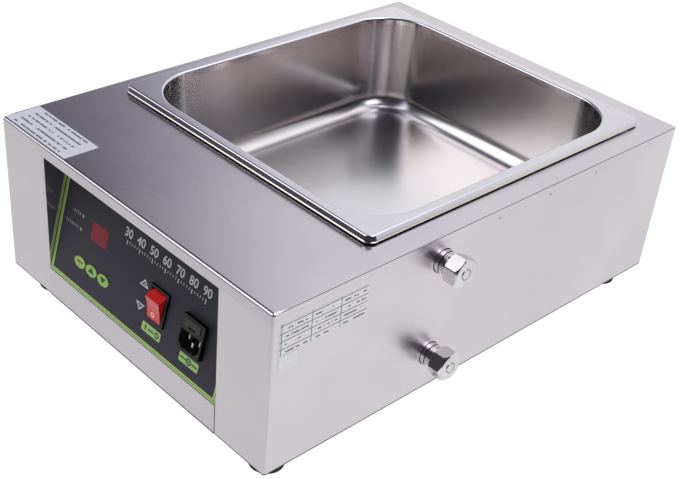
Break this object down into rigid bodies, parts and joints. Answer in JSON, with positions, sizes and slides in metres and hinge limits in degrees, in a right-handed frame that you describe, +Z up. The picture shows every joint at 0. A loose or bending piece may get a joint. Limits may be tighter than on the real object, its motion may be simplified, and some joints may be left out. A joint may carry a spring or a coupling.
{
  "type": "chocolate melting tank",
  "caption": "Countertop water-bath chocolate melting tank: stainless box casing, lift-out rectangular pan, sloped control panel with rocker switch, keys and inlet, capped side pipes.",
  "frame": {"origin": "centre of the overall footprint, on the surface that the feet stand on", "axes": "+X to the right when facing the control panel, +Y towards the back, +Z up"},
  "size_m": [0.389, 0.495, 0.18],
  "materials": {
    "brushed_stainless": "brushed",
    "satin_stainless": "satin",
    "bright_stainless": "polished",
    "overlay_print": "printed film",
    "display_tint": "tinted, gloss",
    "lamp_lens": "clear lens",
    "display_block": "matt",
    "circuit_board": "solder mask",
    "key_switch_plastic": "matt",
    "plated_steel": "zinc plated",
    "key_green": "satin",
    "switch_black": "moulded",
    "rocker_red": "gloss",
    "terminal_brass": "plain",
    "inlet_black": "moulded",
    "contact_metal": "plated",
    "drawer_grey": "moulded",
    "fuse_glass": "clear",
    "element_sheath": "oxidised",
    "silicone": "matt",
    "cutout_body": "moulded",
    "transformer_core": "varnished",
    "relay_blue": "moulded",
    "block_white": "moulded",
    "wire_brown": "insulated",
    "wire_blue": "insulated",
    "wire_green": "insulated",
    "foot_rubber": "matt",
    "label_white": "film"
  },
  "bodies": {
    "casing": {"casing_wrap": "brushed_stainless", "top_deck": "brushed_stainless", "control_fascia": "brushed_stainless", "base_plate": "brushed_stainless", "water_tank": "satin_stainless", "heater_supports": "satin_stainless", "exhaust_pipe": "bright_stainless", "drain_pipe": "bright_stainless", "temperature_probe": "bright_stainless", "panel_overlay": "overlay_print", "display_window": "display_tint", "indicator_lamps": "lamp_lens", "display_module": "display_block", "control_board": "circuit_board", "power_board": "circuit_board", "key_switches": "key_switch_plastic", "board_standoffs": "plated_steel", "board_screws": "plated_steel", "power_standoffs": "plated_steel", "power_screws": "plated_steel", "heater_glands": "plated_steel", "heater_nuts": "plated_steel", "probe_gland": "plated_steel", "probe_nut": "plated_steel", "cutout_bracket": "plated_steel", "base_screws": "plated_steel", "foot_screws": "plated_steel", "foot_nuts": "plated_steel", "switch_housing": "switch_black", "switch_terminals": "terminal_brass", "heater_terminals": "terminal_brass", "earth_stud": "terminal_brass", "inlet_body": "inlet_black", "inlet_pins": "contact_metal", "heating_element": "element_sheath", "heater_washers": "silicone", "thermal_cutout": "cutout_body", "transformer": "transformer_core", "relay": "relay_blue", "terminal_block": "block_white", "live_wires": "wire_brown", "neutral_wires": "wire_blue", "earth_wire": "wire_green", "feet": "foot_rubber", "deck_label": "label_white", "side_labels": "label_white"},
    "pan": {"pan": "satin_stainless"},
    "rocker": {"rocker_paddle": "rocker_red"},
    "set_key": {"set_key": "key_green"},
    "up_key": {"up_key": "key_green"},
    "down_key": {"down_key": "key_green"},
    "fuse_drawer": {"fuse_drawer": "drawer_grey", "fuse": "fuse_glass"},
    "exhaust_seal": {"exhaust_seal": "silicone"},
    "exhaust_cap": {"exhaust_cap": "bright_stainless"},
    "drain_seal": {"drain_seal": "silicone"},
    "drain_cap": {"drain_cap": "bright_stainless"}
  },
  "joints": [
    {"name": "pan_lift", "type": "slide", "parent": "casing", "child": "pan", "axis": [0, 0, 1], "range_m": [0, 0.13]},
    {"name": "rocker_flip", "type": "hinge", "parent": "casing", "child": "rocker", "pos_m": [0.019, -0.23115, 0.0875], "axis": [-1, 0, 0], "range_deg": [0, 36]},
    {"name": "set_key_press", "type": "slide", "parent": "casing", "child": "set_key", "axis": [0, 0.9668, -0.2554], "range_m": [0, 0.0005], "stiffness_N_per_m": 2000, "springref_m": -0.0005},
    {"name": "up_key_press", "type": "slide", "parent": "casing", "child": "up_key", "axis": [0, 0.9668, -0.2554], "range_m": [0, 0.0005], "stiffness_N_per_m": 2000, "springref_m": -0.0005},
    {"name": "down_key_press", "type": "slide", "parent": "casing", "child": "down_key", "axis": [0, 0.9668, -0.2554], "range_m": [0, 0.0005], "stiffness_N_per_m": 2000, "springref_m": -0.0005},
    {"name": "fuse_drawer_slide", "type": "slide", "parent": "casing", "child": "fuse_drawer", "axis": [0, -0.9668, 0.2554], "range_m": [0, 0.022]},
    {"name": "exhaust_seal_out", "type": "slide", "parent": "casing", "child": "exhaust_seal", "axis": [1, 0, 0], "range_m": [0, 0.00906]},
    {"name": "exhaust_cap_turn", "type": "hinge", "parent": "exhaust_seal", "child": "exhaust_cap", "pos_m": [0.1875, -0.07, 0.1487], "axis": [1, 0, 0], "range_deg": [0, 1800]},
    {"name": "drain_seal_out", "type": "slide", "parent": "casing", "child": "drain_seal", "axis": [1, 0, 0], "range_m": [0, 0.00906]},
    {"name": "drain_cap_turn", "type": "hinge", "parent": "drain_seal", "child": "drain_cap", "pos_m": [0.1875, -0.07, 0.0562], "axis": [1, 0, 0], "range_deg": [0, 1800]}
  ],
  "couplings": [
    {"joint": "exhaust_cap_turn", "follows": "exhaust_seal_out", "rad_per_m": 3463.7},
    {"joint": "drain_cap_turn", "follows": "drain_seal_out", "rad_per_m": 3463.7}
  ]
}
